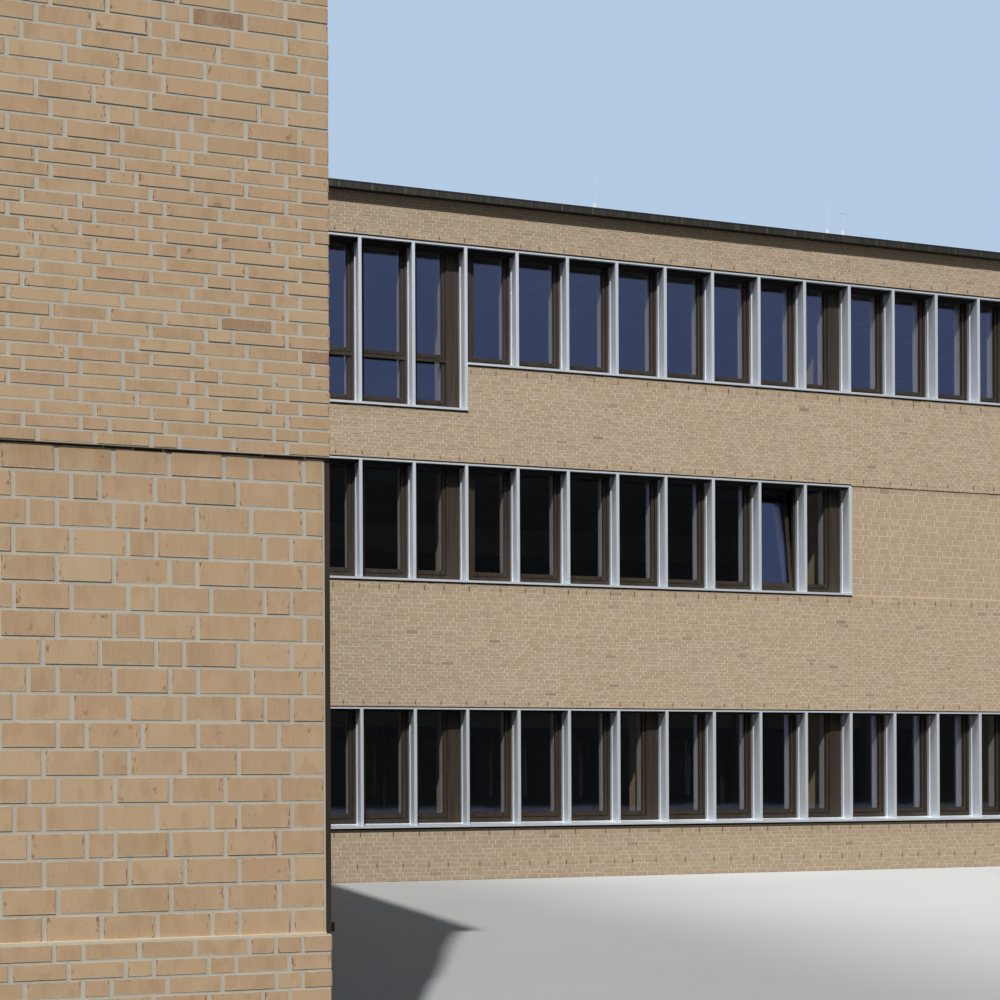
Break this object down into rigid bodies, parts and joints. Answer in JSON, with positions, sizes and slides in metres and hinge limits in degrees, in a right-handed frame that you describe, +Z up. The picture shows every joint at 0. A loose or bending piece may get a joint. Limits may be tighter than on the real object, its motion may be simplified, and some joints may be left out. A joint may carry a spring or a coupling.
{
  "type": "three-storey school building with a projecting wing",
  "caption": "L-shaped three-storey brick school block with ribbon windows between deep metal fins and a flat roof with a metal edge.",
  "frame": {"origin": "centre of the whole object's box, on the ground", "axes": "+Z up, +X to the right along the main block's front as seen from the court, +Y from the wing's end towards the back"},
  "size_m": [33.295, 34.435, 13.8125],
  "materials": {
    "brick": "matt sand-faced brick, buff with a few burnt pieces, pale flush mortar",
    "aluminium_surrounds": "satin anodised, natural silver",
    "bronze_frames": "satin dark bronze",
    "glass": "clear insulating glass",
    "concrete": "smooth cast concrete",
    "roof_membrane": "grey welded roofing sheet",
    "galvanised_steel": "dull galvanised"
  },
  "bodies": {
    "root": {"front_brick_bands": "brick", "front_brick_panels": "brick", "front_window_fins": "aluminium_surrounds", "front_window_sashes": "bronze_frames", "front_window_glass": "glass", "open_window_sash": "bronze_frames", "open_window_glass": "glass", "front_columns": "concrete", "back_brick_bands": "brick", "back_brick_panels": "brick", "back_window_fins": "aluminium_surrounds", "back_window_sashes": "bronze_frames", "back_window_glass": "glass", "back_columns": "concrete", "right_end_wall": "brick", "main_ground_floor": "concrete", "main_first_floor": "concrete", "main_second_floor": "concrete", "main_roof": "roof_membrane", "front_roof_edge": "bronze_frames", "back_roof_edge": "bronze_frames", "right_roof_edge": "bronze_frames", "lightning_rods": "galvanised_steel", "wing_end_wall": "brick", "wing_back_wall": "brick", "party_wall": "brick", "wing_right_bands": "brick", "wing_right_panels": "brick", "wing_right_fins": "aluminium_surrounds", "wing_right_sashes": "bronze_frames", "wing_right_glass": "glass", "wing_right_columns": "concrete", "wing_left_bands": "brick", "wing_left_fins": "aluminium_surrounds", "wing_left_sashes": "bronze_frames", "wing_left_glass": "glass", "wing_left_columns": "concrete", "wing_ground_floor": "concrete", "wing_first_floor": "concrete", "wing_second_floor": "concrete", "wing_roof": "roof_membrane", "wing_end_roof_edge": "bronze_frames", "wing_back_roof_edge": "bronze_frames", "wing_left_roof_edge": "bronze_frames", "wing_right_roof_edge": "bronze_frames"}
  },
  "joints": []
}
